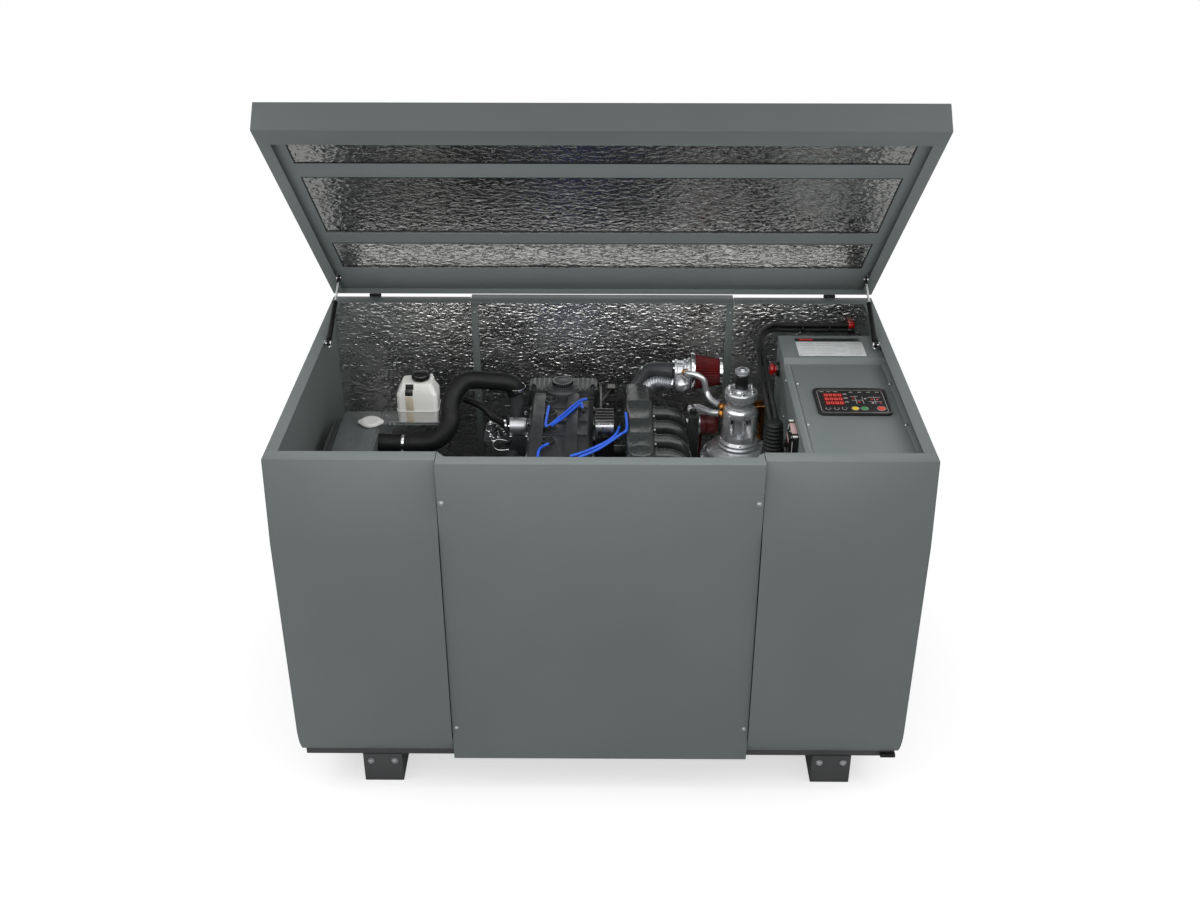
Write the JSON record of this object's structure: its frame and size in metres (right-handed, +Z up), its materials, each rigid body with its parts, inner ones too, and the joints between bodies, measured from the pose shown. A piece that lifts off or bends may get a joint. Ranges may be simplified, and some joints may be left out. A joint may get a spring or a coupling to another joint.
{
  "type": "gas generator set",
  "caption": "Sheet-metal generator housing on two transverse feet, its foil-lined lid raised on gas struts over a gas engine and a control cabinet.",
  "frame": {"origin": "centre of the bounding box on the floor, with the lid open as built", "axes": "+Z up from the floor; +Y towards the hinges at the rear, the shortest extent; +X along the housing to the control cabinet"},
  "size_m": [2, 1.3128, 2.2178],
  "materials": {
    "housing_paint": "satin grey-green paint",
    "frame_paint": "dark grey paint",
    "insulation_foil": "hammered foil facing",
    "black_steel": "black oxide",
    "bright_steel": "polished",
    "engine_casting": "painted casting",
    "intake_plastic": "moulded, matte",
    "black_plastic": "moulded",
    "cable_rubber": "smooth",
    "cast_aluminium": "polished casting",
    "red_finish": "deep red",
    "white_plastic": "moulded, translucent white"
  },
  "bodies": {
    "housing": {"base_frame": "frame_paint", "floor_plate": "frame_paint", "feet": "frame_paint", "left_end_wall": "housing_paint", "right_end_wall": "housing_paint", "front_left_panel": "housing_paint", "front_mid_panel": "housing_paint", "front_right_panel": "housing_paint", "rear_left_panel": "housing_paint", "rear_mid_panel": "housing_paint", "rear_right_panel": "housing_paint", "rear_lining": "insulation_foil", "air_grilles": "frame_paint", "housing_hinges": "black_steel", "housing_studs": "bright_steel", "engine_block": "engine_casting", "valve_cover": "engine_casting", "ignition_coil": "black_plastic", "ignition_leads": "cable_rubber", "alternator": "engine_casting", "intake_plenum": "intake_plastic", "intake_runners": "intake_plastic", "intake_elbow": "cast_aluminium", "air_filter": "red_finish", "gas_valve": "cast_aluminium", "gas_regulator": "cast_aluminium", "gas_filter": "red_finish", "gas_pipes": "bright_steel", "radiator": "frame_paint", "air_duct": "frame_paint", "expansion_tank": "white_plastic", "coolant_hoses": "cable_rubber", "control_cabinet": "housing_paint", "controller": "black_plastic", "emergency_stop": "red_finish", "power_cables": "cable_rubber"},
    "lid": {"lid_shell": "housing_paint", "lid_frame": "housing_paint", "lid_insulation": "insulation_foil", "lid_hinges": "black_steel", "lid_studs": "bright_steel"},
    "left_cylinder": {"left_strut_cylinder": "black_steel"},
    "left_rod": {"left_strut_rod": "bright_steel"},
    "right_cylinder": {"right_strut_cylinder": "black_steel"},
    "right_rod": {"right_strut_rod": "bright_steel"}
  },
  "joints": [
    {"name": "lid_hinge", "type": "hinge", "parent": "housing", "child": "lid", "pos_m": [0, 0.59506, 1.2747], "axis": [-1, 0, 0], "range_deg": [-45, 0]},
    {"name": "left_strut_tilt", "type": "hinge", "parent": "housing", "child": "left_cylinder", "pos_m": [-0.948, 0.19156, 1.266], "axis": [1, 0, 0], "range_deg": [-24.1, 1]},
    {"name": "left_strut_travel", "type": "slide", "parent": "left_cylinder", "child": "left_rod", "axis": [0, 0.9096, 0.4155], "range_m": [-0.0781, 0.002]},
    {"name": "right_strut_tilt", "type": "hinge", "parent": "housing", "child": "right_cylinder", "pos_m": [0.948, 0.19156, 1.266], "axis": [1, 0, 0], "range_deg": [-24.1, 1]},
    {"name": "right_strut_travel", "type": "slide", "parent": "right_cylinder", "child": "right_rod", "axis": [0, 0.9096, 0.4155], "range_m": [-0.0781, 0.002]}
  ],
  "couplings": [
    {"joint": "left_strut_tilt", "follows": "lid_hinge", "ratio": 0.51269},
    {"joint": "left_strut_travel", "follows": "lid_hinge", "m_per_rad": 0.096906},
    {"joint": "right_strut_tilt", "follows": "lid_hinge", "ratio": 0.51269},
    {"joint": "right_strut_travel", "follows": "lid_hinge", "m_per_rad": 0.096906}
  ]
}
